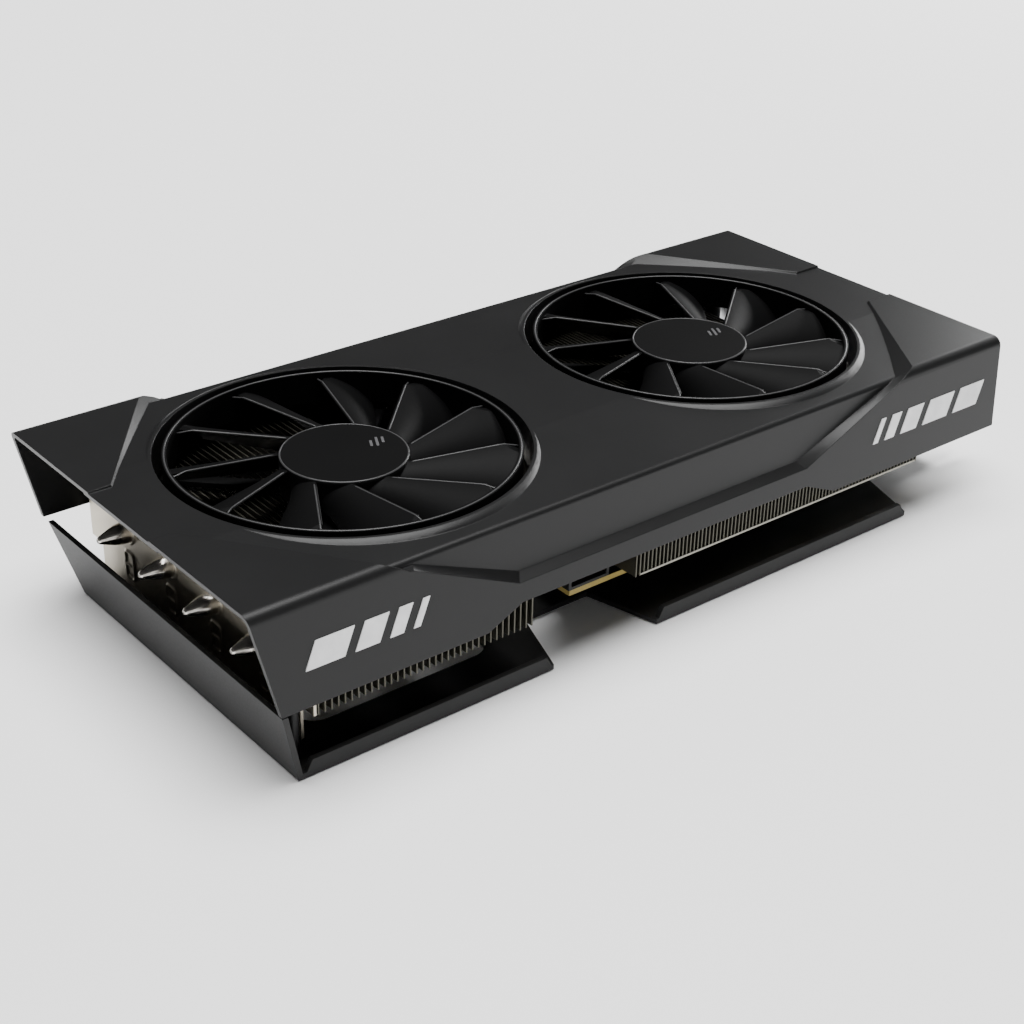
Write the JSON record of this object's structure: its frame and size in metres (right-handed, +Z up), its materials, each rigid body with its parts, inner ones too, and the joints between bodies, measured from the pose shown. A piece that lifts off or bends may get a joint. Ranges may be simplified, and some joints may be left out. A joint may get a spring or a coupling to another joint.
{
  "type": "graphics card",
  "caption": "Thick graphics card with ringed fans in a black winged shroud, heat pipes, short board, display bracket and a backplate with a flow-through window.",
  "frame": {"origin": "centre of the card's box, on the face it rests on, which is the backplate's outer face", "axes": "+X along the card from its tail to the display bracket, +Y across it towards the edge contacts, +Z up through the fans"},
  "size_m": [0.2806, 0.1388, 0.0505],
  "materials": {
    "shroud_black": "satin moulded",
    "fan_black": "satin moulded",
    "mark_white": "printed",
    "plate_black": "fine powder coat",
    "fin_dark": "dark anodised",
    "plate_bare": "rolled",
    "nickel": "nickel plated",
    "steel": "zinc plated",
    "magnet": "sintered",
    "bronze": "sintered",
    "copper": "enamelled windings",
    "board_black": "solder mask",
    "gold": "gold plated",
    "chip_black": "moulded epoxy",
    "package_green": "laminate",
    "silicon": "polished",
    "pad_grey": "soft pad",
    "can_silver": "can",
    "connector_black": "moulded"
  },
  "bodies": {
    "card": {"backplate": "plate_black", "backplate_screws": "steel", "bracket_screws": "steel", "capacitors": "can_silver", "chip_die": "silicon", "chip_package": "package_green", "chokes": "chip_black", "circuit_board": "board_black", "clamp_frame": "steel", "clamp_screws": "steel", "clamp_springs": "steel", "controller_chips": "chip_black", "display_sockets": "steel", "display_tongues": "connector_black", "edge_contacts": "gold", "fan_header": "connector_black", "front_fan_bearing_sleeve": "bronze", "front_fan_frame": "fan_black", "front_fan_screws": "steel", "front_fan_stator": "copper", "front_fins": "fin_dark", "front_side_mark": "mark_white", "heat_pipe_1": "nickel", "heat_pipe_2": "nickel", "heat_pipe_3": "nickel", "heat_pipe_4": "nickel", "heat_spreader": "nickel", "io_bracket": "steel", "media_socket": "steel", "memory_chips": "chip_black", "power_socket": "connector_black", "power_socket_pins": "gold", "power_stages": "chip_black", "shroud": "shroud_black", "shroud_screws": "steel", "standoffs": "steel", "tail_end_plate": "plate_bare", "tail_fan_bearing_sleeve": "bronze", "tail_fan_frame": "fan_black", "tail_fan_screws": "steel", "tail_fan_stator": "copper", "tail_fins": "fin_dark", "tail_side_mark": "mark_white", "thermal_pads": "pad_grey"},
    "tail_fan": {"tail_fan_impeller": "fan_black", "tail_fan_magnet_ring": "magnet", "tail_fan_shaft": "steel"},
    "front_fan": {"front_fan_impeller": "fan_black", "front_fan_magnet_ring": "magnet", "front_fan_shaft": "steel"}
  },
  "joints": [
    {"name": "tail_fan_spin", "type": "hinge", "parent": "card", "child": "tail_fan", "pos_m": [-0.07291, -0.00724, 0.0475], "axis": [0, 0, 1], "continuous": true},
    {"name": "front_fan_spin", "type": "hinge", "parent": "card", "child": "front_fan", "pos_m": [0.05439, -0.00724, 0.0475], "axis": [0, 0, 1], "continuous": true}
  ]
}
